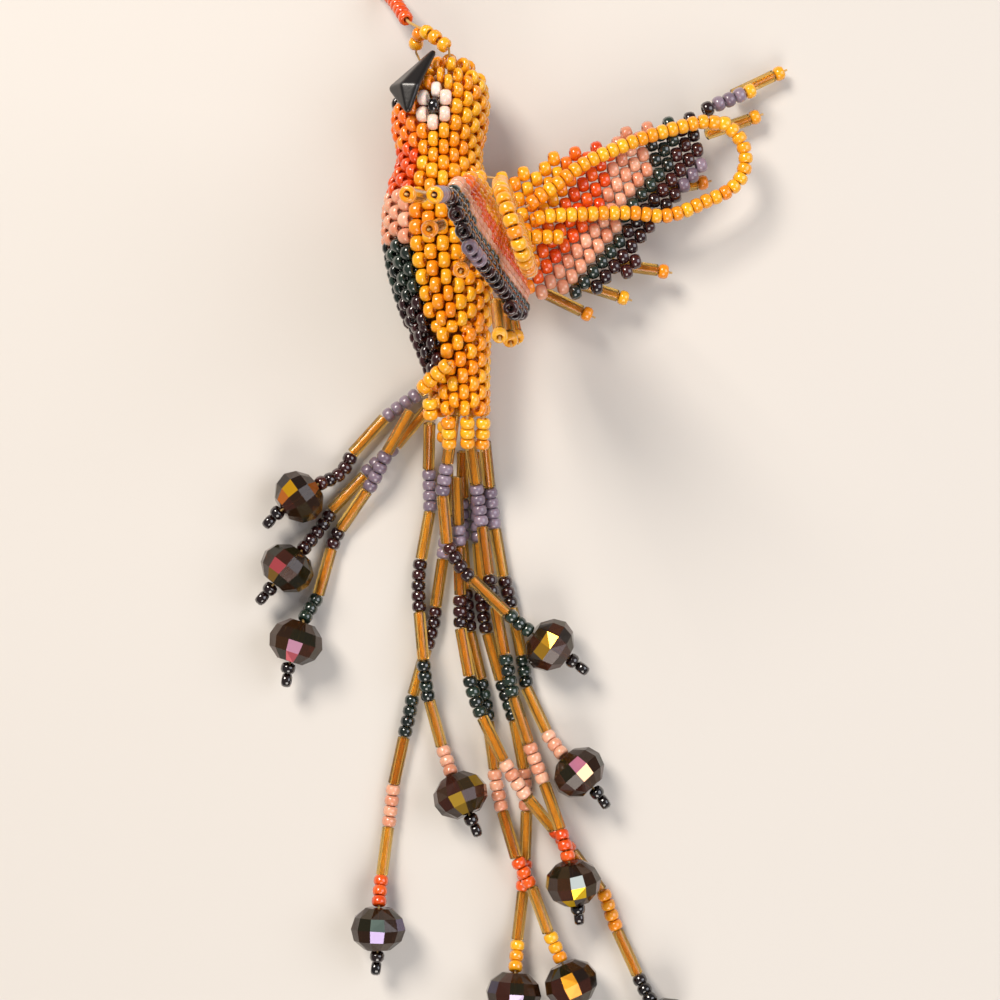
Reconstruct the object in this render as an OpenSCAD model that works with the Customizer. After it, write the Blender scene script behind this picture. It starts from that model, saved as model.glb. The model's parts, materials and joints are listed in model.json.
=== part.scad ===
// Beaded bird pendant, lying on its right side: peyote-stitched body, two brick-stitched wings,
// a fringe of bugle and seed beads that ends in faceted crystals, and a neck strand.
// +Y runs from the tail to the head, +X from the belly to the back, +Z up from the table.

/* [Beads] */
// Outer diameter of a seed bead
seed_d = 2.1; // [1.9:0.05:2.1]
// Length of a seed bead along its hole
seed_l = 1.45; // [1.2:0.05:1.45]
// Hole radius of every bead
hole_r = 0.4; // [0.3:0.05:0.5]
// Outer diameter of a bugle bead
bugle_d = 1.7; // [1.5:0.05:2]
// Length of a bugle bead
bugle_l = 6.7; // [6:0.1:6.7]
// Length of a seed bead strung in a line, with the play that bends need
strung_l = 1.25; // [1.1:0.05:1.25]
// Step between the seed beads of a line
strung_step = 1.5; // [1.5:0.05:1.7]
// Greatest radius of a faceted crystal
crystal_r = 4; // [3.5:0.1:4]
// Length of a crystal along its hole
crystal_l = 5.8; // [5:0.1:5.8]

/* [Body] */
// Step from ring to ring of the body's stitch
ring_step = 1.12; // [1.12:0.02:1.2]
// Half angle of the coloured front, from the belly line
front_angle = 64; // [40:1:80]

/* [Wings] */
// Step between the rows of a wing
row_step = 1.55; // [1.55:0.01:1.7]
// Step between the beads of a row
across_step = 2.2; // [2.16:0.01:2.4]
// Height of the loop of beads over its wing
loop_lift = 2.4; // [2.3:0.1:4]

/* [Neck strand] */
// Inner radius of the put-away coil
coil_inner = 5.5; // [5:0.5:6]
// Outer radius of the put-away coil
coil_outer = 12; // [11:0.5:13]

/* [Hidden] */
$fn = 48;
seed_r = seed_d / 2;
gap = 0.08;
bugle_step = bugle_l + 0.3;
// The point of the table under the middle of the bird's box, which becomes the origin
box_middle = [3, -6.9, 0];
module placed() translate(-box_middle) children();

STRANDS = 11;
function numbered(stem) = [for (i = [1:STRANDS]) str(stem, i)];
BANDS = ["yellow", "orange", "red", "pink", "green", "garnet", "lilac"];
function wing_names(side) = concat(
    [for (b = BANDS) str(side, "_wing_", b)],
    [str(side, "_wing_bugles"), str(side, "_wing_tips"), str(side, "_wing_loop")]);
BODY = ["body_yellow", "underside", "face_black", "throat_orange", "breast_red", "breast_pink",
        "belly_green", "belly_garnet", "eye_rings", "eyes"];

// ---- colours
YELLOW = "#F2A41C"; ORANGE = "#F0821E"; RED = "#E94E18"; PINK = "#E8936C"; GREEN = "#1E2A22";
GARNET = "#2E0F10"; LILAC = "#8C7886"; CREAM = "#F3D9C6"; BLACK = "#120B0A"; AMBER = "#B8781A";
SMOKE = "#4A3A2A";
function shade(name) =
    name == "yellow" ? YELLOW : name == "orange" ? ORANGE : name == "red" ? RED :
    name == "pink" ? PINK : name == "green" ? GREEN : name == "garnet" ? GARNET :
    name == "lilac" ? LILAC : name == "cream" ? CREAM : name == "bugle" ? AMBER : BLACK;

// ---- beads, each with its hole along Z
module seed(length = seed_l)
    rotate_extrude()
        polygon([[hole_r, -length / 2], [seed_r - 0.3, -length / 2], [seed_r, -length / 4],
                 [seed_r, length / 4], [seed_r - 0.3, length / 2], [hole_r, length / 2]]);
module bugle()
    rotate_extrude()
        polygon([[hole_r, -bugle_l / 2], [bugle_d / 2, -bugle_l / 2], [bugle_d / 2, bugle_l / 2],
                 [hole_r, bugle_l / 2]]);
module twelve_sided(r, z)
    translate([0, 0, z]) cylinder(r = r, h = 0.02, $fn = 12, center = true);
module crystal_bead()
    difference() {
        hull() {
            twelve_sided(crystal_r * 0.48, crystal_l / 2 - 0.01);
            twelve_sided(crystal_r * 0.87, crystal_l * 0.28);
            twelve_sided(crystal_r, 0);
            twelve_sided(crystal_r * 0.87, -crystal_l * 0.28);
            twelve_sided(crystal_r * 0.48, 0.01 - crystal_l / 2);
        }
        cylinder(r = 0.6, h = crystal_l + 2, center = true);
    }
// Turns the child's Z axis onto the line from a to b, and centres it between them.
module between(a, b) {
    d = b - a;
    translate((a + b) / 2) rotate([0, acos(d.z / norm(d)), atan2(d.y, d.x)]) children();
}

// ---- lines of beads
function leg(path, i) = norm(path[i + 1] - path[i]);
function reach(path, i = 0) = i >= len(path) - 1 ? 0 : leg(path, i) + reach(path, i + 1);
function at(path, s, i = 0) =
    i >= len(path) - 2 || s <= leg(path, i)
        ? path[i] + (path[i + 1] - path[i]) * s / leg(path, i)
        : at(path, s - leg(path, i), i + 1);
// Cuts a path's corners, twice over, so that the beads turn by a few degrees each.
function rounded(p, times = 2) =
    times == 0 ? p : rounded(concat([p[0]], [for (i = [0:len(p) - 2])
        each [p[i] * 0.75 + p[i + 1] * 0.25, p[i] * 0.25 + p[i + 1] * 0.75]], [p[len(p) - 1]]), times - 1);

// ---- body: [y, axis x, outer radius] from the crown to the tail
PROFILE = [
    [61.2, -7.0, 1.4], [60.6, -7.1, 3.2], [59.6, -7.3, 4.6], [57.8, -7.6, 5.9], [55, -8.2, 6.9],
    [51.5, -8.4, 6.8], [48.7, -8.4, 6.1], [46.6, -8.4, 6.1], [43.8, -8.6, 7], [40.4, -8.9, 7.6],
    [36.2, -8.8, 7.8], [32, -8.4, 7.5], [27.8, -7.8, 6.9], [23.7, -7.1, 6], [20.2, -6.4, 5.2],
    [17.4, -5.9, 4.6], [13.9, -5.6, 4.3], [11, -5.4, 4.1]];
RADII = [for (p = PROFILE) [p[0], p[2]]];
AXIS_X = [for (p = PROFILE) [p[0], p[1]]];
axis_z = 7.82;
function centre_r(y) = lookup(y, RADII) - seed_r;
// The least slope of the skin round a ring, whose axis also bends to one side
reach_y = 0.8;
function slope(y) =
    let (grows = abs(centre_r(y - reach_y) - centre_r(y)),
         drifts = abs(lookup(y - reach_y, AXIS_X) - lookup(y, AXIS_X)))
    max(0, grows - drifts) / reach_y;
function walk(y, stop) = y < stop ? [] : concat([y], walk(y - ring_step / norm([1, slope(y)]), stop));
BROAD = walk(58.2, 24.4);
NARROW = walk(BROAD[len(BROAD) - 1] - seed_d - 0.05, 12.1);
// A ring's beads are straight, so they come closest at their inner edges, and more so where the rings
// on each side are narrower or lie to one side.
function bead_length(y, phi, columns) =
    let (r = min(centre_r(y - 1), centre_r(y), centre_r(y + 1)) - seed_r + 0.5,
         drift = abs(lookup(y - 0.6, AXIS_X) - lookup(y + 0.6, AXIS_X)) * abs(sin(phi)))
    min(seed_l, 2 * r * tan(180 / columns) - 0.06 - drift);
// Beads in the small ring at the crown
crown = 9;
EYE_RING = 4;
EYE_COLUMN = 6;
function off_front(phi) = abs(((phi % 360) + 360) % 360 - 180);
function near_eye(ring, column) =
    abs(column - EYE_COLUMN) == 1 && abs(ring - EYE_RING) == 1
    || column == EYE_COLUMN && abs(ring - EYE_RING) == 2;
function body_colour(y, phi, ring = -9, column = -9) =
    let (low = 23 - column, low_ring = ring - 1)
    ring == EYE_RING && column == EYE_COLUMN || low_ring == EYE_RING && low == EYE_COLUMN ? "eyes" :
    near_eye(ring, column) || near_eye(low_ring, low) ? "eye_rings" :
    off_front(phi) > front_angle ? (off_front(phi - 90) < 35 ? "underside" : "body_yellow") :
    y > 54.4 ? (off_front(phi) < 36 ? "face_black" : "body_yellow") :
    y > 48.7 ? "throat_orange" : y > 41.7 ? "breast_red" : y > 35.4 ? "breast_pink" :
    y > 27.8 ? "belly_green" : y > 17.6 ? "belly_garnet" : "body_yellow";
module on_body(y, phi, r)
    translate([lookup(y, AXIS_X) + r * cos(phi), y, axis_z + r * sin(phi)])
        rotate([0, -phi, 0]) children();
module body_ring(y, ring, columns, wanted)
    for (i = [0:columns / 2 - 1]) {
        column = 2 * i + ring % 2;
        phi = 360 * (column + 0.5) / columns;
        if (body_colour(y, phi, columns == 24 ? ring : -9, column) == wanted)
            on_body(y, phi, centre_r(y)) seed(bead_length(y, phi, columns));
    }
module body_beads(wanted) {
    for (k = [0:len(BROAD) - 1]) body_ring(BROAD[k], k, 24, wanted);
    for (k = [0:len(NARROW) - 1]) body_ring(NARROW[k], k, 16, wanted);
    if (wanted == "body_yellow") {
        for (i = [0:crown - 1]) on_body(60.1, 360 * i / crown, 2.7) seed(0.8);
        on_body(61, 0, 0) seed();
    }
}
// The wadding fills the tube of beads: [y, radius] of the balls that its shape runs through
WADDING = [[17, 2], [22.5, 3.1], [28, 4.3], [36, 5.2], [42.5, 4.6], [47.6, 3.5], [54.5, 3.8],
           [56.7, 2.5]];
module ball(w) translate([lookup(w[0], AXIS_X), w[0], axis_z]) sphere(w[1], $fn = 24);
module filling() color("#C9B79A")
    for (i = [0:len(WADDING) - 2]) hull() {
        ball(WADDING[i]);
        ball(WADDING[i + 1]);
    }
module body_group(name, tint) color(tint) body_beads(name);

// ---- beak: one glossy wedge of pressed glass, bent round the face: [centre, radius] of its corners
BEAK_FOOT = [[-12.5, 53.1, 14.9], 0.55];
BEAK_SIDE = [[-14.6, 56.3, 12.5], 0.6];
BEAK_ROOT = [[-11.4, 56.2, 15.2], 0.55];
BEAK_RIDGE = [[-13.1, 56.3, 14.8], 0.6];
BEAK_TIP = [[-9.2, 61.2, 12.4], 0.45];
module corner(c) translate(c[0]) sphere(c[1], $fn = 20);
module beak() color(BLACK) {
    hull() for (c = [BEAK_FOOT, BEAK_SIDE, BEAK_ROOT, BEAK_RIDGE]) corner(c);
    hull() for (c = [BEAK_TIP, BEAK_SIDE, BEAK_ROOT, BEAK_RIDGE]) corner(c);
}

// ---- hanger on the crown, and the skirt under the tail
HANGER = [[-7, 61.9, 12], [-8.2, 62.9, 11.8], [-9.3, 64, 11.2], [-10.6, 65, 10], [-11.8, 64.3, 8.4],
          [-11.7, 62.4, 7]];
module line_of_seeds(corners, step = strung_step) {
    path = rounded(corners);
    count = floor(reach(path) / step);
    for (i = [0:count - 1]) between(at(path, i * step), at(path, (i + 1) * step)) seed(strung_l);
}
hanger_step = 1.8;
module hanger() color(YELLOW) line_of_seeds(HANGER, hanger_step);
SKIRT = [
    [[-6.9, 18.6, 14.1], [-9.1, 16.9, 13.1], [-11.1, 14.9, 11]],
    [[-9.7, 13.9, 11.7], [-9.5, 10.4, 10.6]],
    [[-7.1, 11.3, 11.3], [-7, 6.6, 9.5]],
    [[-4.5, 11.3, 11], [-4.5, 6.6, 8.8]],
    [[-2.3, 11.3, 9.6], [-2.5, 6.6, 7.9]],
    [[-7.8, 11, 4.4], [-7.95, 7.9, 3.2]],
    [[-4.6, 11, 3.6], [-4.6, 7.8, 2.6]]];
module skirt() color(YELLOW) for (path = SKIRT) line_of_seeds(path);

// ---- wings, drawn flat: u runs out from the hinge line, v along it
// Where each edge of the panel and each change of colour lies: [v, u]
INNER = [[-8, 3.6], [-4.9, 2.2], [-0.7, 0.5], [4.1, -0.3], [8, -0.3]];
OUTER = [[-8.8, 5.7], [-7.7, 11.2], [-6.6, 14.5], [-4.5, 18], [-0.3, 20.1], [3.7, 23], [5.8, 25.1],
         [8.7, 27.3], [11.8, 29.7], [14.2, 30.9], [17, 31]];
LEADING = [[-1, 8.6], [4.7, 10], [12.6, 12.6], [19.6, 15.3], [27.7, 17.7], [31, 17.9]];
CHANGES = [
    ["yellow", [[-5.6, 2.8], [-2.9, 3.3], [0.2, 4.2], [3.5, 6.1], [5.9, 8.2], [9.1, 8.1]]],
    ["orange", [[-5.5, 3.7], [-2.9, 4.9], [0.2, 6], [3.6, 7.8], [7.2, 10.2], [10.6, 10.2]]],
    ["red", [[-7.3, 3.9], [-5.5, 6.5], [-2.8, 9.6], [0.3, 10.6], [3.4, 13], [6.3, 14.9], [11, 14.9]]],
    ["pink", [[-8, 8], [-6.2, 9.5], [-2.2, 13.2], [1.9, 15.9], [5.1, 18], [8, 20.1], [12.6, 20.3]]],
    ["green", [[-6.1, 11.8], [-3.6, 14.9], [-1.2, 16.4], [3.1, 18.3], [6.6, 20.7], [9.4, 23.1],
               [15.1, 24.4]]],
    ["garnet", [[3, 24.5], [6.8, 24.9], [9.1, 26], [11.8, 28.4], [15.9, 29.6]]],
    ["lilac", [[0, 40], [1, 40]]]];
// The rows lean by this much, and start this far behind and below the hinge point.
ROW_TURN = 14;
ROW_START = [-7, -16.6];
function band(p, i = 0) = p[0] < lookup(p[1], CHANGES[i][1]) ? CHANGES[i][0] : band(p, i + 1);
function on_panel(p) = p[1] > -8.9 && p[1] < lookup(p[0], LEADING)
    && p[0] > lookup(p[1], INNER) && p[0] < lookup(p[1], OUTER);
function turned(p, a) = [p[0] * cos(a) - p[1] * sin(a), p[0] * sin(a) + p[1] * cos(a)];
module wing_band(wanted)
    for (k = [0:26]) for (j = [0:15]) {
        p = ROW_START + turned([k * row_step, (j + (k % 2) / 2) * across_step], ROW_TURN);
        if (on_panel(p) && band(p) == wanted)
            translate([p[0], p[1], 0]) rotate([0, 90, ROW_TURN]) seed();
    }
// A plume of four beads with a tip, beside the fringe tubes: [u, v]
PLUME = [[28.8, 18.15], [30.4, 18.9], [31.9, 19.5], [33.4, 20.2], [34.9, 20.8]];
module plume(first, last)
    for (i = [first:last]) translate([PLUME[i][0], PLUME[i][1], 0]) rotate([0, 90, 24]) seed();

// Fringe tubes, under the panel: [angle about the fan's centre, distance of the tip from it]
FAN = [-10.5, 0];
fringe_drop = 2;
FEATHERS = [[25.4, 56.2], [20.6, 50.5], [11.7, 40.6], [-7.8, 34.4], [-16.8, 29.6], [-25.4, 25.6]];
module feather(f, back, length)
    translate([FAN[0], FAN[1], -fringe_drop]) rotate(f[0]) translate([f[1] - back - length / 2, 0, 0])
        rotate([0, 90, 0]) children();
module wing_bugles() for (f = FEATHERS) feather(f, seed_l + gap, bugle_l) bugle();
module wing_tips() {
    for (f = FEATHERS) feather(f, 0, seed_l) seed();
    plume(4, 4);
}
LOOP = [[3, 3.8], [6.8, 6.6], [9.4, 8.8], [12.5, 10.7], [19.4, 13.6], [24, 15], [28.5, 16.2],
        [31.2, 15.5], [33.2, 13.5], [33.9, 10.8], [33.2, 8.1], [31.2, 6.1], [28.5, 5.1], [25.2, 3.4],
        [21.8, 2.4], [18.6, 3.1], [13.4, 2.9], [9.1, 2.6], [5, 2.4], [3, 1.6]];
BAR = [[1.9, -0.6], [5, -0.5], [8.8, -0.5]];
function raised(path) = [for (p = path) [p[0], p[1], loop_lift]];
module wing_loop() {
    line_of_seeds(raised(LOOP));
    line_of_seeds(raised(BAR));
}
module wing_piece(piece)
    color(piece == "bugles" ? AMBER : piece == "tips" || piece == "loop" ? YELLOW : shade(piece))
        if (piece == "bugles") wing_bugles();
        else if (piece == "tips") wing_tips();
        else if (piece == "loop") wing_loop();
        else {
            wing_band(piece);
            if (piece == "garnet") plume(0, 0);
            if (piece == "lilac") plume(1, 3);
        }

// Each wing is turned about its own hinge line on the bird's back.
right_root = [0.6, 36.8, 8.7];
right_pitch = 7.4;
left_root = [0.1, 37.2, 13.2];
left_turn = 19;
left_rise = -101;
left_spin = -29;
// The left loop has fallen away from its panel by this much.
left_fall = 7;
module right_wing(piece) translate(right_root) rotate([0, right_pitch, 0]) wing_piece(piece);
// The left wing is the right one's mirror image, so its loop faces the right wing.
module left_wing(piece)
    translate(left_root) rotate([0, 0, left_turn]) rotate([0, left_rise, 0])
        rotate([0, piece == "loop" ? left_fall : 0, 0]) rotate([0, 0, left_spin])
            mirror([0, 0, 1]) wing_piece(piece);

// ---- fringe: each strand's route from the skirt to its end, and what is threaded on it
ROUTES = [
    [[-5.6, 19.6, 1.2], [-12.4, 14.6, 1.1], [-15.4, 12.4, 1.1], [-20.1, 9, 1.1], [-22.3, 3.6, 1.1],
     [-24.2, 2.9, 2.1], [-26.2, 2, 3.7], [-28.4, 0.8, 4.5], [-31, -1.4, 4.75], [-33.2, -3.8, 3.6]],
    [[-10.2, 13.2, 1.2], [-13.4, 9, 1.1], [-16.8, 5.9, 1.1], [-22.6, 0.6, 1.1], [-24.4, -2.4, 1.1],
     [-27, -6, 2.6], [-29.2, -8.6, 4.65], [-31.6, -11.6, 4.71], [-34.2, -14.6, 3.6]],
    [[-11.6, 14.4, 4.4], [-13.2, 11.6, 3.6], [-15.4, 8, 3.4], [-17.2, 4, 3.3], [-18.8, 1.2, 2.2],
     [-22.2, -3.2, 1.1], [-24, -6.2, 1.1], [-25, -12.2, 1.1], [-27, -15.6, 2.6], [-28.2, -17.8, 4.3],
     [-29.8, -23, 4.6], [-30.2, -26.4, 3.6]],
    [[-10, 11.8, 4.2], [-10.1, 3, 1.1], [-9.8, -3.1, 1.1], [-11.6, -9.2, 1.1], [-11.6, -14.6, 1.8],
     [-11, -20.6, 3.6], [-10.6, -25, 3.6], [-10.2, -28.4, 2], [-8.6, -34, 1.1], [-7, -38.4, 2.8],
     [-6, -41, 4.9], [-4, -45, 4.78], [-3, -47.4, 3.6]],
    [[-7.4, 8, 4], [-7.6, 0, 1.1], [-7.6, -5.6, 1.1], [-9, -12.9, 1.1], [-9.4, -18.3, 1.1],
     [-12, -25.3, 1.1], [-13, -31.3, 1.1], [-14.9, -38.3, 1.1], [-15.6, -44.6, 1.1],
     [-16.6, -51.6, 1.1], [-17, -55, 2.6], [-17.1, -57.6, 4.3], [-17.2, -63.6, 4.6], [-17.6, -67, 3.6]],
    [[-6.4, 11.4, 7.6], [-7.6, 4, 6.9], [-8.4, -1, 5.6], [-8.2, -4.6, 5.4], [-5.6, -9.6, 5.7],
     [-2.3, -12.6, 5.7], [2.1, -16.9, 5.2], [5.1, -19.2, 4], [10.2, -22.6, 4.2], [12.4, -24.4, 3.6]],
    [[-2.2, 8.6, 4.6], [-1.2, -0.7, 1.1], [-0.6, -5.7, 1.1], [0.8, -12.1, 1.1], [2.2, -16.9, 1.1],
     [3.4, -24, 1.1], [4, -28, 1.1], [6.2, -32.6, 1.4], [8.8, -36, 3.2], [9.8, -37, 4.5],
     [13.6, -41, 4.66], [15.2, -43.4, 3.6]],
    [[-4.3, 9, 6.4], [-3.1, 0, 3.4], [-2.4, -5.1, 3.3], [-1.4, -11.7, 3.3], [-0.4, -16.4, 3.3],
     [0.9, -22.9, 3.3], [1.9, -28.3, 3.3], [4.2, -34.9, 3.3], [6.3, -40, 3.3], [8, -44.6, 4.6],
     [9, -48, 6.2], [9.8, -51, 6.4], [10.8, -56.4, 6.4], [11.2, -59.6, 4]],
    [[-3.4, 7, 1.3], [-3.3, -2, 1.1], [-2.9, -10, 1.1], [-2.3, -18, 1.1], [0.6, -27, 1.1],
     [3.2, -35, 1.1], [3.6, -41.4, 1.1], [3.9, -48.3, 1.1], [3.2, -55.7, 1.1], [2.6, -62, 1.1],
     [2.2, -66, 3], [2, -68, 4.65], [1.6, -73.6, 4.71], [1.5, -76, 3.6]],
    [[-5.2, 7, 3.6], [-5.5, -2, 1.1], [-5.1, -10, 1.1], [-4.5, -18, 1.1], [-2.6, -26, 1.1],
     [-1.6, -31, 1.1], [-1, -38, 1.1], [0.2, -44, 1.2], [1.6, -49.4, 3.4], [4.4, -54.4, 3.5],
     [6, -59, 3.3], [8.2, -64, 3.4], [9.4, -66.6, 4.3], [11.6, -71.6, 4.6], [12.4, -74.2, 3.6]],
    [[-6.2, 6, 5.6], [-6, 0, 3.8], [-5.8, -6, 3.3], [-5.6, -14, 3.3], [-5.6, -18.9, 3.3],
     [-4.3, -25.7, 3.3], [-2.7, -30.7, 3.4], [0.9, -37.4, 5.4], [3.7, -41.7, 5.4], [5.6, -44.2, 3.6],
     [7.9, -47.1, 1.4], [11, -51, 1.1], [14.6, -55, 1.1], [16.2, -60.3, 1.1], [19, -66.4, 1.1],
     [20.6, -69.6, 2.8], [22, -71.8, 4.3], [25.2, -77, 4.6], [26.6, -79.2, 3.6]]];
B = ["bugle", 1];
function run(kind, count) = [kind, count];
THREADED = [
    [B, run("lilac", 4), B, run("garnet", 5)],
    [B, run("lilac", 4), B, run("garnet", 5)],
    [B, run("lilac", 4), B, run("garnet", 2), B, run("green", 3)],
    [B, run("lilac", 4), B, run("garnet", 5), B, run("green", 4), B, run("pink", 3)],
    [B, run("lilac", 4), B, run("garnet", 4), B, run("green", 4), B, run("pink", 4), B, run("red", 3)],
    [B, run("lilac", 3), B, run("garnet", 4), B, run("green", 3)],
    [B, run("lilac", 4), B, run("garnet", 3), B, run("green", 3), B, run("pink", 3)],
    [B, run("lilac", 4), B, run("garnet", 3), B, run("green", 4), B, run("pink", 4), B, run("red", 3)],
    [B, run("lilac", 4), B, run("garnet", 4), B, run("green", 4), B, run("pink", 4), B, run("red", 3),
     B, run("yellow", 3)],
    [B, run("lilac", 4), B, run("garnet", 4), B, run("green", 4), B, run("pink", 4), B, run("red", 3),
     B, run("yellow", 3)],
    [B, run("lilac", 2), B, run("garnet", 3), B, run("green", 4), B, run("pink", 4), B, run("red", 3),
     B, run("yellow", 4), B, run("black", 3)]];
end_l = strung_step + seed_d;
function kinds(runs) = [for (r = runs) for (i = [1:r[1]]) r[0]];
function span(kind) = kind == "bugle" ? bugle_step : kind == "crystal" ? crystal_l + 0.5 : strung_step;
function total(list, count, i = 0) = i >= count ? 0 : span(list[i]) + total(list, count, i + 1);
// The chain ends at its route's end, so its first bead starts where the chain's length says.
function route_of(n) = rounded(ROUTES[n]);
function crystal_start(n) = reach(route_of(n)) - end_l - span("crystal");
module strand(n) {
    route = route_of(n);
    list = kinds(THREADED[n]);
    first = crystal_start(n) - total(list, len(list));
    for (i = [0:len(list) - 1]) {
        a = at(route, first + total(list, i));
        b = at(route, first + total(list, i + 1));
        color(shade(list[i])) between(a, b)
            if (list[i] == "bugle") bugle(); else seed(strung_l);
    }
    // Two beads and one across them close the thread's turn.
    s = reach(route) - end_l;
    color(BLACK) between(at(route, s), at(route, s + strung_step)) seed(strung_l);
    color(BLACK) between(at(route, s + strung_step), at(route, s + end_l)) rotate([0, 90, 0]) seed(strung_l);
}
module crystal(n) color(SMOKE)
    between(at(route_of(n), crystal_start(n)), at(route_of(n), crystal_start(n) + span("crystal")))
        crystal_bead();

// ---- neck strand: a tube along the stretch that lies free, and the coil that the rest is put away in
NECK = [[-12.9, 66.5, 8.9], [-13.5, 67.7, 7.5], [-14.2, 69.1, 5.6], [-15.2, 70.9, 3], [-16.4, 72.6, 1.3],
        [-18.3, 74.5, 1.1]];
coil_centre = [-14, 87, 0];
module neck_strand() color(RED)
    polyhedron(
        points = [for (i = [0:len(NECK) - 1]) each ring_points(i)],
        faces = concat([[for (j = [7:-1:0]) j]],
                       [for (i = [0:len(NECK) - 2]) for (j = [0:7])
                           [i * 8 + j, i * 8 + (j + 1) % 8, (i + 1) * 8 + (j + 1) % 8, (i + 1) * 8 + j]],
                       [[for (j = [0:7]) (len(NECK) - 1) * 8 + j]]));
function unit(v) = v / norm(v);
function ring_points(i) =
    let (along = unit(NECK[min(i + 1, len(NECK) - 1)] - NECK[max(i - 1, 0)]),
         side = unit(cross(along, [0, 0, 1])), up = cross(side, along))
    [for (j = [0:7]) NECK[i] + seed_r * (cos(45 * j) * side + sin(45 * j) * up)];
module neck_coil() color(RED)
    translate(coil_centre) rotate_extrude()
        polygon([[coil_inner, 0], [coil_outer, 0], [coil_outer, 2.2], [coil_outer - 2, 4.3],
                 [coil_inner, 4.3]]);
module neck_loop() color(YELLOW)
    translate(coil_centre + [0, 0, 5.5])
        for (i = [0:9]) rotate(36 * i) translate([3, 0, 0]) rotate([90, 0, 0]) seed(1.4);

placed() filling();
placed() body_group("body_yellow", YELLOW);  // body_yellow
placed() body_group("underside", YELLOW);  // underside
placed() body_group("face_black", BLACK);  // face_black
placed() body_group("throat_orange", ORANGE);  // throat_orange
placed() body_group("breast_red", RED);  // breast_red
placed() body_group("breast_pink", PINK);  // breast_pink
placed() body_group("belly_green", GREEN);  // belly_green
placed() body_group("belly_garnet", GARNET);  // belly_garnet
placed() body_group("eye_rings", CREAM);  // eye_rings
placed() body_group("eyes", BLACK);  // eyes
placed() beak();
placed() skirt();
placed() hanger();
for (piece = concat(BANDS, ["bugles", "tips", "loop"])) {
    placed() left_wing(piece);
    placed() right_wing(piece);
}
for (n = [1:STRANDS]) {
    placed() strand(n - 1);
    placed() crystal(n - 1);
}
placed() neck_strand();
placed() neck_coil();
placed() neck_loop();
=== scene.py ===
"""Beaded bird pendant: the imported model's beads are redrawn as rounded glass beads on thread."""
import json
import math
import random

import bmesh
import bpy
import numpy as np
from mathutils import Matrix, Vector


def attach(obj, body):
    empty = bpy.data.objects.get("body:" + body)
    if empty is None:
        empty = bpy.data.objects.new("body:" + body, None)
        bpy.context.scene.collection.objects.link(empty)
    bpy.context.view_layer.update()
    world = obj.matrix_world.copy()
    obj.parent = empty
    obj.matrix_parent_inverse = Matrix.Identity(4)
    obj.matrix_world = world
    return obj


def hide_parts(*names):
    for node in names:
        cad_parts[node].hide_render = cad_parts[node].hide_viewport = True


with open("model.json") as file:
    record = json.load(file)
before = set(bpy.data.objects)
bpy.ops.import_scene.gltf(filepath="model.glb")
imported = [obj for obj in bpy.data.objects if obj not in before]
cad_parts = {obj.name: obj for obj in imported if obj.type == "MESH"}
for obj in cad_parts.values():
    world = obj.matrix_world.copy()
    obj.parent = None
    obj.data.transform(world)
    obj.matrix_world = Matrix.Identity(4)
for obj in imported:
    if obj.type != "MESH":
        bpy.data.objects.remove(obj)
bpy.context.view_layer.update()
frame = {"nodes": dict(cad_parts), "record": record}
MM = 0.001
rng = random.Random(11)

# ------------------------------------------------------------------ camera, straight above the table
CAMERA_HEIGHT = 0.300
VIEW_WIDTH = 0.14286
SENSOR = 36.0
# The point of the table under the middle of the bird's box, in the drawing's millimetres
BOX_MIDDLE = Vector((3, -6.9, 0))


def place(point):
    """A point of the drawing, in millimetres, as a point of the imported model, in metres."""
    return (Vector(point) - BOX_MIDDLE) * MM


camera_data = bpy.data.cameras.new("camera")
camera_data.sensor_width = SENSOR
camera_data.lens = SENSOR * CAMERA_HEIGHT / VIEW_WIDTH
camera_data.clip_start = 0.01
camera = bpy.data.objects.new("camera", camera_data)
camera.location = place((0, 0, CAMERA_HEIGHT / MM))
bpy.context.scene.collection.objects.link(camera)
bpy.context.scene.camera = camera

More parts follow.
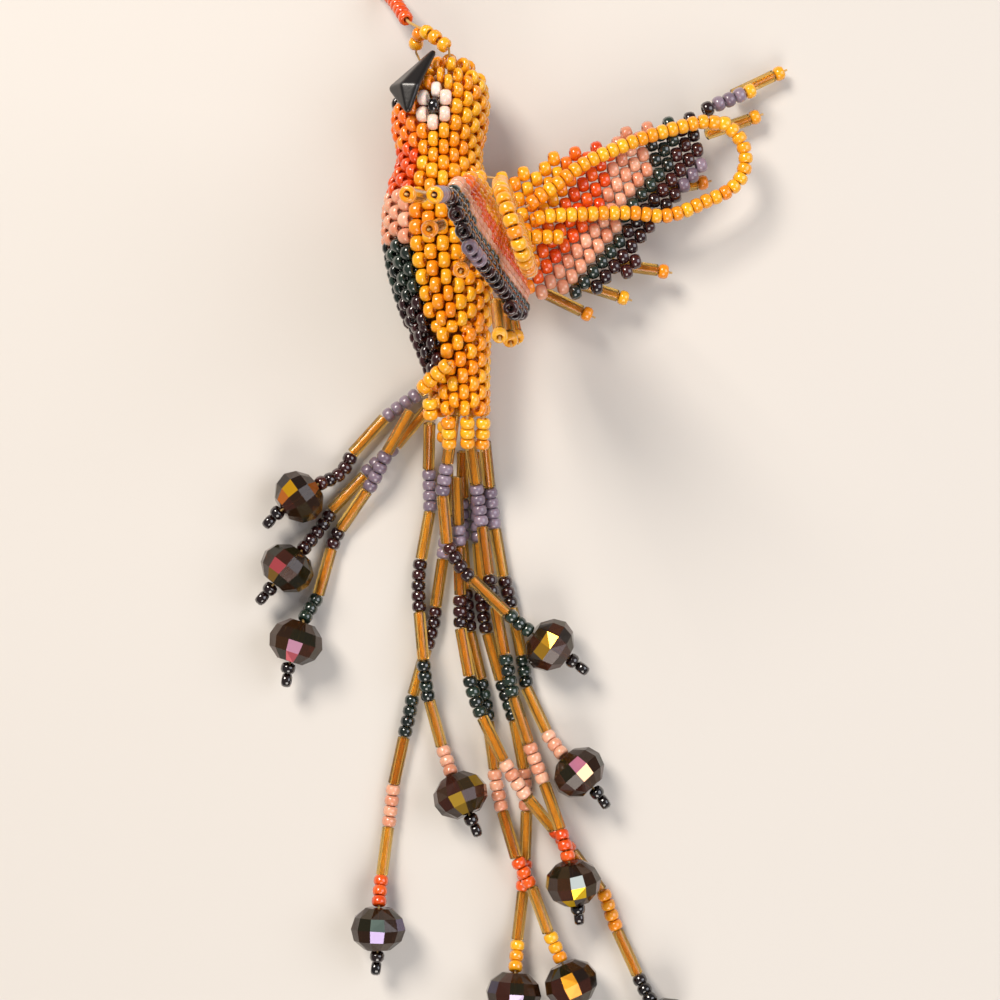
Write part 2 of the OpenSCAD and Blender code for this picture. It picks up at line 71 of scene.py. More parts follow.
# ------------------------------------------------------------------ routes, as in the drawing
STRUNG_STEP = 1.5
BUGLE_STEP = 7.0
CRYSTAL_STEP = 6.3
END_LENGTH = STRUNG_STEP + 2.1
ROUTES = [
    [[-5.6, 19.6, 1.2], [-12.4, 14.6, 1.1], [-15.4, 12.4, 1.1], [-20.1, 9, 1.1], [-22.3, 3.6, 1.1],
     [-24.2, 2.9, 2.1], [-26.2, 2, 3.7], [-28.4, 0.8, 4.5], [-31, -1.4, 4.75], [-33.2, -3.8, 3.6]],
    [[-10.2, 13.2, 1.2], [-13.4, 9, 1.1], [-16.8, 5.9, 1.1], [-22.6, 0.6, 1.1], [-24.4, -2.4, 1.1],
     [-27, -6, 2.6], [-29.2, -8.6, 4.65], [-31.6, -11.6, 4.71], [-34.2, -14.6, 3.6]],
    [[-11.6, 14.4, 4.4], [-13.2, 11.6, 3.6], [-15.4, 8, 3.4], [-17.2, 4, 3.3], [-18.8, 1.2, 2.2],
     [-22.2, -3.2, 1.1], [-24, -6.2, 1.1], [-25, -12.2, 1.1], [-27, -15.6, 2.6], [-28.2, -17.8, 4.3],
     [-29.8, -23, 4.6], [-30.2, -26.4, 3.6]],
    [[-10, 11.8, 4.2], [-10.1, 3, 1.1], [-9.8, -3.1, 1.1], [-11.6, -9.2, 1.1], [-11.6, -14.6, 1.8],
     [-11, -20.6, 3.6], [-10.6, -25, 3.6], [-10.2, -28.4, 2], [-8.6, -34, 1.1], [-7, -38.4, 2.8],
     [-6, -41, 4.9], [-4, -45, 4.78], [-3, -47.4, 3.6]],
    [[-7.4, 8, 4], [-7.6, 0, 1.1], [-7.6, -5.6, 1.1], [-9, -12.9, 1.1], [-9.4, -18.3, 1.1],
     [-12, -25.3, 1.1], [-13, -31.3, 1.1], [-14.9, -38.3, 1.1], [-15.6, -44.6, 1.1],
     [-16.6, -51.6, 1.1], [-17, -55, 2.6], [-17.1, -57.6, 4.3], [-17.2, -63.6, 4.6], [-17.6, -67, 3.6]],
    [[-6.4, 11.4, 7.6], [-7.6, 4, 6.9], [-8.4, -1, 5.6], [-8.2, -4.6, 5.4], [-5.6, -9.6, 5.7],
     [-2.3, -12.6, 5.7], [2.1, -16.9, 5.2], [5.1, -19.2, 4], [10.2, -22.6, 4.2], [12.4, -24.4, 3.6]],
    [[-2.2, 8.6, 4.6], [-1.2, -0.7, 1.1], [-0.6, -5.7, 1.1], [0.8, -12.1, 1.1], [2.2, -16.9, 1.1],
     [3.4, -24, 1.1], [4, -28, 1.1], [6.2, -32.6, 1.4], [8.8, -36, 3.2], [9.8, -37, 4.5],
     [13.6, -41, 4.66], [15.2, -43.4, 3.6]],
    [[-4.3, 9, 6.4], [-3.1, 0, 3.4], [-2.4, -5.1, 3.3], [-1.4, -11.7, 3.3], [-0.4, -16.4, 3.3],
     [0.9, -22.9, 3.3], [1.9, -28.3, 3.3], [4.2, -34.9, 3.3], [6.3, -40, 3.3], [8, -44.6, 4.6],
     [9, -48, 6.2], [9.8, -51, 6.4], [10.8, -56.4, 6.4], [11.2, -59.6, 4]],
    [[-3.4, 7, 1.3], [-3.3, -2, 1.1], [-2.9, -10, 1.1], [-2.3, -18, 1.1], [0.6, -27, 1.1],
     [3.2, -35, 1.1], [3.6, -41.4, 1.1], [3.9, -48.3, 1.1], [3.2, -55.7, 1.1], [2.6, -62, 1.1],
     [2.2, -66, 3], [2, -68, 4.65], [1.6, -73.6, 4.71], [1.5, -76, 3.6]],
    [[-5.2, 7, 3.6], [-5.5, -2, 1.1], [-5.1, -10, 1.1], [-4.5, -18, 1.1], [-2.6, -26, 1.1],
     [-1.6, -31, 1.1], [-1, -38, 1.1], [0.2, -44, 1.2], [1.6, -49.4, 3.4], [4.4, -54.4, 3.5],
     [6, -59, 3.3], [8.2, -64, 3.4], [9.4, -66.6, 4.3], [11.6, -71.6, 4.6], [12.4, -74.2, 3.6]],
    [[-6.2, 6, 5.6], [-6, 0, 3.8], [-5.8, -6, 3.3], [-5.6, -14, 3.3], [-5.6, -18.9, 3.3],
     [-4.3, -25.7, 3.3], [-2.7, -30.7, 3.4], [0.9, -37.4, 5.4], [3.7, -41.7, 5.4], [5.6, -44.2, 3.6],
     [7.9, -47.1, 1.4], [11, -51, 1.1], [14.6, -55, 1.1], [16.2, -60.3, 1.1], [19, -66.4, 1.1],
     [20.6, -69.6, 2.8], [22, -71.8, 4.3], [25.2, -77, 4.6], [26.6, -79.2, 3.6]]]
B = ("bugle", 1)
THREADED = [
    [B, ("lilac", 4), B, ("garnet", 5)],
    [B, ("lilac", 4), B, ("garnet", 5)],
    [B, ("lilac", 4), B, ("garnet", 2), B, ("green", 3)],
    [B, ("lilac", 4), B, ("garnet", 5), B, ("green", 4), B, ("pink", 3)],
    [B, ("lilac", 4), B, ("garnet", 4), B, ("green", 4), B, ("pink", 4), B, ("red", 3)],
    [B, ("lilac", 3), B, ("garnet", 4), B, ("green", 3)],
    [B, ("lilac", 4), B, ("garnet", 3), B, ("green", 3), B, ("pink", 3)],
    [B, ("lilac", 4), B, ("garnet", 3), B, ("green", 4), B, ("pink", 4), B, ("red", 3)],
    [B, ("lilac", 4), B, ("garnet", 4), B, ("green", 4), B, ("pink", 4), B, ("red", 3),
     B, ("yellow", 3)],
    [B, ("lilac", 4), B, ("garnet", 4), B, ("green", 4), B, ("pink", 4), B, ("red", 3),
     B, ("yellow", 3)],
    [B, ("lilac", 2), B, ("garnet", 3), B, ("green", 4), B, ("pink", 4), B, ("red", 3),
     B, ("yellow", 4), B, ("black", 3)]]
NECK = [[-12.9, 66.5, 8.9], [-13.5, 67.7, 7.5], [-14.2, 69.1, 5.6], [-15.2, 70.9, 3], [-16.4, 72.6, 1.3],
        [-18.3, 74.5, 1.1]]
COIL_CENTRE = Vector((-14, 87, 0))
HANGER = [[-7, 61.9, 12], [-8.2, 62.9, 11.8], [-9.3, 64, 11.2], [-10.6, 65, 10], [-11.8, 64.3, 8.4],
          [-11.7, 62.4, 7]]
HANGER_STEP = 1.8
SPAN = {"bugle": BUGLE_STEP, "crystal": CRYSTAL_STEP}


def rounded(path, times=2):
    """Cuts a path's corners twice over, so that it turns by a few degrees at a time."""
    points = [Vector(p) for p in path]
    for _ in range(times):
        cut = [points[0]]
        for a, b in zip(points, points[1:]):
            cut += [a.lerp(b, 0.25), a.lerp(b, 0.75)]
        points = cut + [points[-1]]
    return points


def reach(path):
    return sum((b - a).length for a, b in zip(path, path[1:]))


def at(path, distance):
    """The point at a distance along a path, past its ends in a straight line."""
    for a, b in zip(path, path[1:]):
        leg = (b - a).length
        if distance <= leg or b is path[-1]:
            return a.lerp(b, distance / leg)
        distance -= leg


# ------------------------------------------------------------------ materials
def linear(code):
    """An sRGB hex colour as linear RGBA."""
    parts = [int(code[i:i + 2], 16) / 255 for i in (1, 3, 5)]
    return [c / 12.92 if c <= 0.04045 else ((c + 0.055) / 1.055) ** 2.4 for c in parts] + [1.0]


def add(tree, kind, settings=None, links=None):
    """Adds a node, sets its attributes or sockets by name, and links its sockets from (node, output)."""
    made = tree.nodes.new(kind)
    for name, value in (settings or {}).items():
        if name in made.inputs:
            made.inputs[name].default_value = value
        else:
            setattr(made, name, value)
    for name, (source, output) in (links or {}).items():
        tree.links.new(source.outputs[output], made.inputs[name])
    return made


def new_material(name):
    material = bpy.data.materials.new(name)
    material.use_nodes = True
    material.node_tree.nodes.clear()
    return material, material.node_tree


def tone_ramp(tree, colours):
    """Colour by the bead's own tone, which each bead holds in an attribute from 0 to 1."""
    tone = add(tree, "ShaderNodeAttribute", {"attribute_name": "tone"})
    ramp = add(tree, "ShaderNodeValToRGB", links={"Fac": (tone, "Fac")})
    stops = ramp.color_ramp.elements
    for i, colour in enumerate(colours):
        stop = stops[i] if i < 2 else stops.new(0.5)
        stop.position = i / (len(colours) - 1)
        stop.color = linear(colour)
    return ramp


def drawn_glass_bump(tree, strength):
    """Fine waves, 0.3 mm apart, left on a seed bead when its edges are softened in the drum."""
    where = add(tree, "ShaderNodeTexCoord")
    waves = add(tree, "ShaderNodeTexNoise", {"Scale": 1 / (0.3 * MM), "Detail": 2.0},
                {"Vector": (where, "Object")})
    return add(tree, "ShaderNodeBump", {"Strength": strength, "Distance": 0.05 * MM},
               {"Height": (waves, "Fac")})


def opaque_glass(name, colours, roughness=0.2, coat=0.7, bump=0.35, scatter=0.0):
    """Opaque pressed glass, fire-softened: saturated, glossy, each bead a little different in tone."""
    material, tree = new_material(name)
    ramp = tone_ramp(tree, colours)
    settings = {"Roughness": roughness, "IOR": 1.52, "Coat Weight": coat, "Coat Roughness": 0.06}
    if scatter:
        settings.update({"Subsurface Weight": scatter, "Subsurface Scale": 0.4 * MM})
    shader = add(tree, "ShaderNodeBsdfPrincipled", settings,
                 {"Base Color": (ramp, "Color"), "Normal": (drawn_glass_bump(tree, bump), "Normal")})
    add(tree, "ShaderNodeOutputMaterial", links={"Surface": (shader, "BSDF")})
    return material


def amber_tube(name):
    """Transparent amber glass of a bugle bead: dark at its sides, where the eye looks through more glass."""
    material, tree = new_material(name)
    ramp = tone_ramp(tree, ["#EBC064", "#F4D07A", "#DDAF54"])
    shader = add(tree, "ShaderNodeBsdfPrincipled",
                 {"Roughness": 0.03, "IOR": 1.38, "Transmission Weight": 0.95},
                 {"Base Color": (ramp, "Color")})
    add(tree, "ShaderNodeOutputMaterial", links={"Surface": (shader, "BSDF")})
    return material


def gold_lining(name):
    """Gold wash inside a bugle's hole: the bright line down its middle."""
    material, tree = new_material(name)
    ramp = tone_ramp(tree, ["#F2C238", "#FFDD66", "#ECB430"])
    shader = add(tree, "ShaderNodeBsdfPrincipled", {"Roughness": 0.4, "Metallic": 0.1},
                 {"Base Color": (ramp, "Color")})
    add(tree, "ShaderNodeOutputMaterial", links={"Surface": (shader, "BSDF")})
    return material


def coated_crystal(name):
    """Smoky cut glass with an iridescent coat: dark and clear, but for the facets that carry a painted reflection
    of the coat, which are made partly metallic and opaque.
    """
    material, tree = new_material(name)
    facet = add(tree, "ShaderNodeAttribute", {"attribute_name": "facet"})
    # The facet alpha marks the facets with a painted coat reflection: partly metallic there, and opaque.
    painted_flash_metallic = add(tree, "ShaderNodeMath", {"operation": "MULTIPLY"}, {0: (facet, "Alpha")})
    painted_flash_metallic.inputs[1].default_value = 0.55
    clear = add(tree, "ShaderNodeMath", {"operation": "MULTIPLY_ADD"}, {0: (facet, "Alpha")})
    clear.inputs[1].default_value = -0.5
    clear.inputs[2].default_value = 0.5
    shader = add(tree, "ShaderNodeBsdfPrincipled",
                 {"Roughness": 0.1, "IOR": 1.42, "Coat Weight": 0.08, "Coat Roughness": 0.05},
                 {"Base Color": (facet, "Color"), "Metallic": (painted_flash_metallic, "Value"),
                  "Transmission Weight": (clear, "Value")})
    add(tree, "ShaderNodeOutputMaterial", links={"Surface": (shader, "BSDF")})
    return material


def nylon_thread(name):
    """Beading thread, waxed nylon: off-white with a fine twist, 0.2 mm from turn to turn."""
    material, tree = new_material(name)
    where = add(tree, "ShaderNodeTexCoord")
    twist = add(tree, "ShaderNodeTexWave", {"Scale": 1 / (0.2 * MM) / 6.28}, {"Vector": (where, "Object")})
    bump = add(tree, "ShaderNodeBump", {"Strength": 0.5, "Distance": 0.03 * MM}, {"Height": (twist, "Fac")})
    shader = add(tree, "ShaderNodeBsdfPrincipled",
                 {"Base Color": linear("#C9A25E"), "Roughness": 0.55, "Sheen Weight": 0.2},
                 {"Normal": (bump, "Normal")})
    add(tree, "ShaderNodeOutputMaterial", links={"Surface": (shader, "BSDF")})
    return material


def wadding_in_painted_shade(name):
    """Yellow cotton wadding that fills the body, coloured a darker ochre brown as painted shade between the beads:
    matt, fibrous, seen only as depth between the beads.
    """
    material, tree = new_material(name)
    where = add(tree, "ShaderNodeTexCoord")
    fibres = add(tree, "ShaderNodeTexNoise", {"Scale": 1 / (0.5 * MM), "Detail": 6.0},
                 {"Vector": (where, "Object")})
    ramp = add(tree, "ShaderNodeValToRGB", links={"Fac": (fibres, "Fac")})
    # Both tones are darker than yellow wadding, as painted shade for the gaps between the beads; the noise mixes
    # them as a random fibre tone.
    ramp.color_ramp.elements[0].color = linear("#7A420C")
    ramp.color_ramp.elements[1].color = linear("#B06E1C")
    bump = add(tree, "ShaderNodeBump", {"Strength": 0.8, "Distance": 0.2 * MM}, {"Height": (fibres, "Fac")})
    shader = add(tree, "ShaderNodeBsdfPrincipled", {"Roughness": 0.95, "Sheen Weight": 0.3},
                 {"Base Color": (ramp, "Color"), "Normal": (bump, "Normal")})
    add(tree, "ShaderNodeOutputMaterial", links={"Surface": (shader, "BSDF")})
    return material


MATERIALS = {
    "yellow": opaque_glass("yellow_opaque_glass", ["#F08A0A", "#F6A512", "#FBB81E"], scatter=0.15),
    "orange": opaque_glass("orange_opaque_glass", ["#EE6A0C", "#F27C14", "#F68F1C"], scatter=0.1),
    "red": opaque_glass("red_orange_opaque_glass", ["#D84206", "#E6520C", "#EC6216"], scatter=0.1),
    "pink": opaque_glass("salmon_lustred_glass", ["#D48A69", "#E29F7E", "#EDB697"], 0.25, scatter=0.2),
    "green": opaque_glass("dark_green_glass", ["#0C140E", "#16221A", "#24352A"], 0.14, 1.0),
    "garnet": opaque_glass("garnet_glass", ["#1A0506", "#2A090A", "#3C1210"], 0.14, 1.0),
    "lilac": opaque_glass("lilac_lustred_glass", ["#6C5B6A", "#7F6E7D", "#958394"], 0.3, scatter=0.1),
    "cream": opaque_glass("cream_opaque_glass", ["#EFCBB4", "#F6DCCB", "#FBEADF"], 0.25, scatter=0.3),
    "black": opaque_glass("black_glass", ["#0A0504", "#120807", "#1C0D0A"], 0.1, 1.0, 0.15),
    "beak": opaque_glass("beak_black_glass", ["#0D0705", "#140A08", "#1C0F0B"], 0.34, 0.25, 0.2),
    "bugle": amber_tube("amber_bugle_glass"),
    "lining": gold_lining("gold_wash_lining"),
    "crystal": coated_crystal("coated_cut_glass"),
    "thread": nylon_thread("waxed_nylon_thread"),
    "wadding": wadding_in_painted_shade("wadding_in_painted_shade"),
}

# ------------------------------------------------------------------ beads, one unit long and one unit in radius
SEED_PROFILE = [(0.40, 0.40), (0.56, 0.49), (0.84, 0.42), (1.0, 0.19), (1.0, -0.19), (0.84, -0.42),
                (0.56, -0.49), (0.40, -0.40)]
# The points close to each end keep the shading of a tube straight along its length.
BUGLE_PROFILE = [(0.48, 0.475), (0.48, 0.49), (0.85, 0.5), (1.0, 0.488), (1.0, 0.475),
                 (1.0, -0.475), (1.0, -0.488), (0.85, -0.5), (0.48, -0.49), (0.48, -0.475)]
LINING_PROFILE = [(0.38, 0.475), (0.38, 0.49), (0.44, 0.49), (0.44, 0.475),
                  (0.44, -0.475), (0.44, -0.49), (0.38, -0.49), (0.38, -0.475)]


def turned(name, profile, steps=12):
    """A closed profile of (radius, height) turned about Z."""
    bm = bmesh.new()
    ring = [bm.verts.new((r, 0, z)) for r, z in profile]
    edges = [bm.edges.new((a, b)) for a, b in zip(ring, ring[1:] + ring[:1])]
    bmesh.ops.spin(bm, geom=ring + edges, axis=(0, 0, 1), cent=(0, 0, 0), angle=math.tau, steps=steps,
                   use_merge=True)
    bmesh.ops.remove_doubles(bm, verts=bm.verts, dist=1e-5)
    bmesh.ops.recalc_face_normals(bm, faces=bm.faces)
    for face in bm.faces:
        face.smooth = True
    mesh = bpy.data.meshes.new(name)
    bm.to_mesh(mesh)
    bm.free()
    return mesh


SEED = turned("seed_shape", SEED_PROFILE)
BUGLE = turned("bugle_shape", BUGLE_PROFILE, 24)
LINING = turned("lining_shape", LINING_PROFILE, 24)


class Beadwork:
    """Collects beads into one mesh, with a material for each colour and a tone for each bead."""

    def __init__(self, name):
        self.name = name
        self.bm = bmesh.new()
        self.tone = self.bm.verts.layers.float.new("tone")
        self.kinds = []

    def stamp(self, shape, kind, centre, axis, length, radius, tone):
        if kind not in self.kinds:
            self.kinds.append(kind)
        start = len(self.bm.verts)
        first_face = len(self.bm.faces)
        self.bm.from_mesh(shape)
        self.bm.verts.ensure_lookup_table()
        self.bm.faces.ensure_lookup_table()
        verts = self.bm.verts[start:]
        turn = Vector((0, 0, 1)).rotation_difference(axis).to_matrix().to_4x4()
        roll = Matrix.Rotation(tone * math.tau, 4, "Z")
        size = Matrix.Diagonal((radius, radius, length, 1))
        bmesh.ops.transform(self.bm, matrix=Matrix.Translation(centre) @ turn @ roll @ size, verts=verts)
        for vert in verts:
            vert[self.tone] = tone
        for face in self.bm.faces[first_face:]:
            face.material_index = self.kinds.index(kind)

    def bead(self, kind, centre, axis, length, radius):
        tone = rng.random()
        tilt = Vector([rng.uniform(-0.03, 0.03) for _ in range(3)])
        axis = (axis.normalized() + tilt).normalized()
        if kind == "bugle":
            self.stamp(BUGLE, "bugle", centre, axis, length, radius, tone)
            self.stamp(LINING, "lining", centre, axis, length, radius, tone)
        else:
            self.stamp(SEED, kind, centre, axis, length, radius * rng.uniform(0.975, 1.0), tone)

    def thread(self, points, radius):
        """A thin six-sided thread through a line of beads."""
        for a, b in zip(points, points[1:]):
            made = bmesh.ops.create_cone(self.bm, cap_ends=True, segments=6, radius1=radius, radius2=radius,
                                         depth=(b - a).length)
            turn = Vector((0, 0, 1)).rotation_difference(b - a).to_matrix().to_4x4()
            bmesh.ops.transform(self.bm, matrix=Matrix.Translation((a + b) / 2) @ turn, verts=made["verts"])
            if "thread" not in self.kinds:
                self.kinds.append("thread")
            for face in {f for v in made["verts"] for f in v.link_faces}:
                face.material_index = self.kinds.index("thread")

    def finished(self):
        mesh = bpy.data.meshes.new(self.name)
        self.bm.to_mesh(mesh)
        self.bm.free()
        for kind in self.kinds:
            mesh.materials.append(MATERIALS[kind])
        piece = bpy.data.objects.new(self.name, mesh)
        bpy.context.scene.collection.objects.link(piece)
        return piece


def islands(node):
    """The triangles of each separate solid of a CAD node, whether or not they share their corners."""
    mesh = frame["nodes"][node].data
    points = np.zeros(len(mesh.vertices) * 3)
    mesh.vertices.foreach_get("co", points)
    points = points.reshape(-1, 3)
    corners = np.zeros(len(mesh.loops), int)
    mesh.loops.foreach_get("vertex_index", corners)
    _, same = np.unique(np.round(points / 2e-6).astype(np.int64), axis=0, return_inverse=True)
    triangles = same.reshape(-1)[corners].reshape(-1, 3)
    label = np.arange(same.max() + 1)
    while True:
        lowest = label[triangles].min(axis=1)
        updated = label.copy()
        np.minimum.at(updated, triangles.ravel(), np.repeat(lowest, 3))
        updated = updated[updated]
        if (updated == label).all():
            break
        label = updated
    owner = label[triangles[:, 0]]
    solid = points[corners].reshape(-1, 3, 3)
    return [solid[owner == k] for k in np.unique(owner)]


def bead_axis(triangles, points):
    """A long bead's axis is the way it is longest. A short bead's is square to its flat ends."""
    values, vectors = np.linalg.eigh(np.cov((points - points.mean(axis=0)).T))
    if values[2] > 3 * values[1]:
        return vectors[:, 2]
    normals = np.cross(triangles[:, 1] - triangles[:, 0], triangles[:, 2] - triangles[:, 0])
    areas = np.linalg.norm(normals, axis=1)
    normals = normals[areas > 0] / areas[areas > 0, None]
    areas = areas[areas > 0]
    flat = [areas[abs(normals @ n) > 0.9995].sum() for n in normals]
    return normals[int(np.argmax(flat))]


def measure(triangles):
    """A bead's centre, axis, length and radius."""
    points = np.unique(np.round(triangles.reshape(-1, 3), 7), axis=0)
    axis = bead_axis(triangles, points)
    middle = (points.min(axis=0) + points.max(axis=0)) / 2
    along = (points - middle) @ axis
    out = np.linalg.norm(points - middle - np.outer(along, axis), axis=1)
    centre = middle + axis * (along.max() + along.min()) / 2
    return Vector(centre), Vector(axis), float(along.max() - along.min()), float(out.max())


def body_of(node):
    groups = frame["record"]["behaviour"]["bodies"]
    return next(name for name, nodes in groups.items() if node in nodes)


def stand_in(piece, node):
    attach(piece, body_of(node))
    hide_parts(node)
    return piece


# The middles of the beads that have been drawn, for each node
middles = {}


def drawn_length(length, fill):
    """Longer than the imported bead. The shortest beads, where the body is narrow, are lengthened the most."""
    return length * (1.5 if fill > 1 and length < 1.1 * MM else fill)


def redraw(node, kind, fill=1.0, swell=1.0, threaded=False):
    """Replaces a node's plain beads with rounded ones, each a little larger to close the play between them."""
    work = Beadwork(node + "_beads")
    threads = []
    for triangles in islands(node):
        centre, axis, length, radius = measure(triangles)
        parts = 2 if kind != "bugle" and length > 2.2 * MM else 1
        radius = min(radius, 1.05 * MM) if kind != "bugle" else radius
        for i in range(parts):
            middle = centre + axis * length * ((i + 0.5) / parts - 0.5)
            work.bead(kind, middle, axis, drawn_length(length / parts, fill), radius * swell)
            middles.setdefault(node, []).append(middle)
        threads.append([centre - axis * length * 0.9, centre + axis * length * 0.9])
    for ends in threads if threaded else []:
        work.thread(ends, 0.16 * MM)
    return stand_in(work.finished(), node)


# ------------------------------------------------------------------ fringe strands: the cords
def strand_layout(number):
    """The route of one strand, the names of its beads, and the distance along the route of its first bead."""
    route = rounded(ROUTES[number])
    names = [kind for kind, count in THREADED[number] for _ in range(count)]
    chain = sum(SPAN.get(kind, STRUNG_STEP) for kind in names)
    crystal = reach(route) - END_LENGTH - CRYSTAL_STEP
    return route, names, crystal - chain, crystal


def draw_strand(number):
    route, names, first, crystal = strand_layout(number)
    node = f"strand_{number + 1}"
    work = Beadwork(node + "_beads")
    place_at = first
    for kind in names:
        step = SPAN.get(kind, STRUNG_STEP)
        a, b = place(at(route, place_at)), place(at(route, place_at + step))
        if kind == "bugle":
            work.bead(kind, (a + b) / 2, b - a, 6.8 * MM, 0.86 * MM)
        else:
            work.bead(kind, (a + b) / 2, b - a, 1.47 * MM, 1.05 * MM)
        place_at += step
    path = [place(at(route, first + (crystal - first) * i / 30)) for i in range(31)]
    work.thread(path, 0.16 * MM)
    piece = stand_in(work.finished(), node)

    end = Beadwork(node + "_end")
    s = reach(route) - END_LENGTH
    a, b = place(at(route, s)), place(at(route, s + STRUNG_STEP))
    end.bead("black", (a + b) / 2, b - a, 1.45 * MM, 1.05 * MM)
    a, b = place(at(route, s + STRUNG_STEP)), place(at(route, s + END_LENGTH))
    across = (b - a).cross(Vector((0, 0, 1)))
    end.bead("black", (a + b) / 2, across, 1.45 * MM, 1.05 * MM)
    end.thread([place(at(route, crystal - 0.5)), place(at(route, s + 1))], 0.16 * MM)
    end_piece = end.finished()
    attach(end_piece, body_of(node))
    return piece, end_piece, path


# The smoky ground of the cut glass, and for each crystal two colours of painted coat reflection: the first on the
# facet that faces most nearly up, the second on a facet beside it and, as a coat tone, at random on some others
SMOKE = ["#3A2414", "#4A2E16", "#402818", "#2C2816", "#4E281C", "#44341A", "#563222", "#2A1C14"]
PAINTED_FLASHES = [("#D9A218", "#B8641A"), ("#C4545A", "#7A5A1C"), ("#E6A6C2", "#E0707A"), ("#C8A038", "#A8842C"),
           ("#6E8078", "#7A6C8C"), ("#D8A028", "#B08428"), ("#D88AA8", "#E8B488"), ("#EAF6F4", "#F2C428"),
           ("#8C8098", "#5E5668"), ("#E0981E", "#B87420"), ("#5A5060", "#7C6A50")]
# Radius and height of the rows of corners, as parts of the crystal's own
CRYSTAL_ROWS = ((0.48, 0.5), (0.87, 0.28), (1.0, 0.0), (0.87, -0.28), (0.48, -0.5))


def draw_crystal(number):
    """A fire-polished rondelle: four rows of twelve flat facets, wider than long."""
    route, _, _, crystal = strand_layout(number)
    node = f"crystal_{number + 1}"
    a, b = place(at(route, crystal)), place(at(route, crystal + CRYSTAL_STEP))
    dice = random.Random(100 + number)
    bm = bmesh.new()
    for radius, height in CRYSTAL_ROWS:
        bmesh.ops.create_circle(bm, segments=12, radius=radius * 3.97 * MM,
                                matrix=Matrix.Translation((0, 0, height * 5.75 * MM)))
    bmesh.ops.delete(bm, geom=list(bm.edges), context="EDGES_FACES")
    bmesh.ops.convex_hull(bm, input=list(bm.verts))
    bmesh.ops.dissolve_limit(bm, angle_limit=math.radians(1), verts=list(bm.verts), edges=list(bm.edges))
    for vert in bm.verts:
        vert.co += Vector([dice.uniform(-0.06, 0.06) * MM for _ in range(3)])
    turn = Vector((0, 0, 1)).rotation_difference(b - a).to_matrix().to_4x4()
    roll = Matrix.Rotation(dice.uniform(0, math.tau), 4, "Z")
    bmesh.ops.transform(bm, matrix=Matrix.Translation((a + b) / 2) @ turn @ roll, verts=bm.verts)
    bm.normal_update()
    colour = bm.loops.layers.float_color.new("facet")
    # Painted reflection of the coat: the facet that faces most nearly up, toward the camera and key light, gets the
    # first flash colour, and its neighbour that faces furthest down the picture gets the second.
    brightest = max(bm.faces, key=lambda f: f.normal.dot(Vector((-0.1, 0.15, 1)).normalized()))
    second = min((f for e in brightest.edges for f in e.link_faces if f is not brightest),
                 key=lambda f: f.normal.y)
    for face in bm.faces:
        first, other = PAINTED_FLASHES[number]
        shade = dice.choice(SMOKE + [other] if dice.random() < 0.3 else SMOKE)
        shade = first if face is brightest else other if face is second else shade
        # The two facets with painted reflection are marked in the alpha.
        painted_flash = 1.0 if face in (brightest, second) else 0.0
        for loop in face.loops:
            loop[colour] = linear(shade)[:3] + [painted_flash]
    mesh = bpy.data.meshes.new(node + "_cut")
    bm.to_mesh(mesh)
    bm.free()
    mesh.materials.append(MATERIALS["crystal"])
    piece = bpy.data.objects.new(node + "_cut", mesh)
    bpy.context.scene.collection.objects.link(piece)
    return stand_in(piece, node)


for n in range(11):
    crystal_piece = draw_crystal(n)
    strand_piece, end_piece, strand_path = draw_strand(n)

# ------------------------------------------------------------------ neck strand: along the table, then put away in a coil
def coil_route():
    """The neck strand's free stretch, then three turns inwards on the table and two more on top of them."""
    points = [p for p in rounded(NECK)]
    spots = 24
    height = 1.06
    for turn in range(5):
        on_top = turn > 2
        for i in range(spots):
            done = turn + i / spots
            radius = 10.9 - 2.12 * done if not on_top else 5.9 + 1.6 * (done - 3)
            angle = math.radians(248) + math.tau * done
            rise = min(1, max(0, done - 2.7) / 0.6) * 2.1
            points.append(COIL_CENTRE + Vector((radius * math.cos(angle), radius * math.sin(angle), height + rise)))
    return points


def draw_neck_strand():
    route = coil_route()
    work = Beadwork("neck_strand_beads")
    count = int(reach(route) / 1.48)
    for i in range(count):
        a, b = place(at(route, i * 1.48)), place(at(route, (i + 1) * 1.48))
        work.bead("red", (a + b) / 2, b - a, 1.46 * MM, 1.05 * MM)
    path = [place(p) for p in route]
    work.thread(path, 0.16 * MM)
    piece = work.finished()
    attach(piece, "bird")
    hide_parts("neck_strand", "neck_coil")
    return piece, path


neck_piece, neck_path = draw_neck_strand()
loop_piece = redraw("neck_loop", "yellow", 1.05)

# ------------------------------------------------------------------ body, wings
# The ring where the body's stitch is decreased from 24 columns to 16: its place along the body, the body's
# middle there, its radius, and the half angle of the garnet front
WAIST_Y, WAIST_MIDDLE, WAIST_R, WAIST_FRONT = 23.8, (-7.1, 7.82), 4.75, 64
WAIST_BEADS = 15


def draw_waist():
    """The smaller beads that fill the decrease in the body's stitch."""
    for kind in ("yellow", "garnet"):
        work = Beadwork("waist_" + kind)
        for i in range(WAIST_BEADS):
            angle = 360 * (i + 0.5) / WAIST_BEADS
            if (abs(angle - 180) < WAIST_FRONT) != (kind == "garnet"):
                continue
            turn = math.radians(angle)
            centre = place((WAIST_MIDDLE[0] + WAIST_R * math.cos(turn), WAIST_Y,
                            WAIST_MIDDLE[1] + WAIST_R * math.sin(turn)))
            work.bead(kind, centre, Vector((-math.sin(turn), 0, math.cos(turn))), 1.6 * MM, 0.9 * MM)
        piece = work.finished()
        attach(piece, "bird")


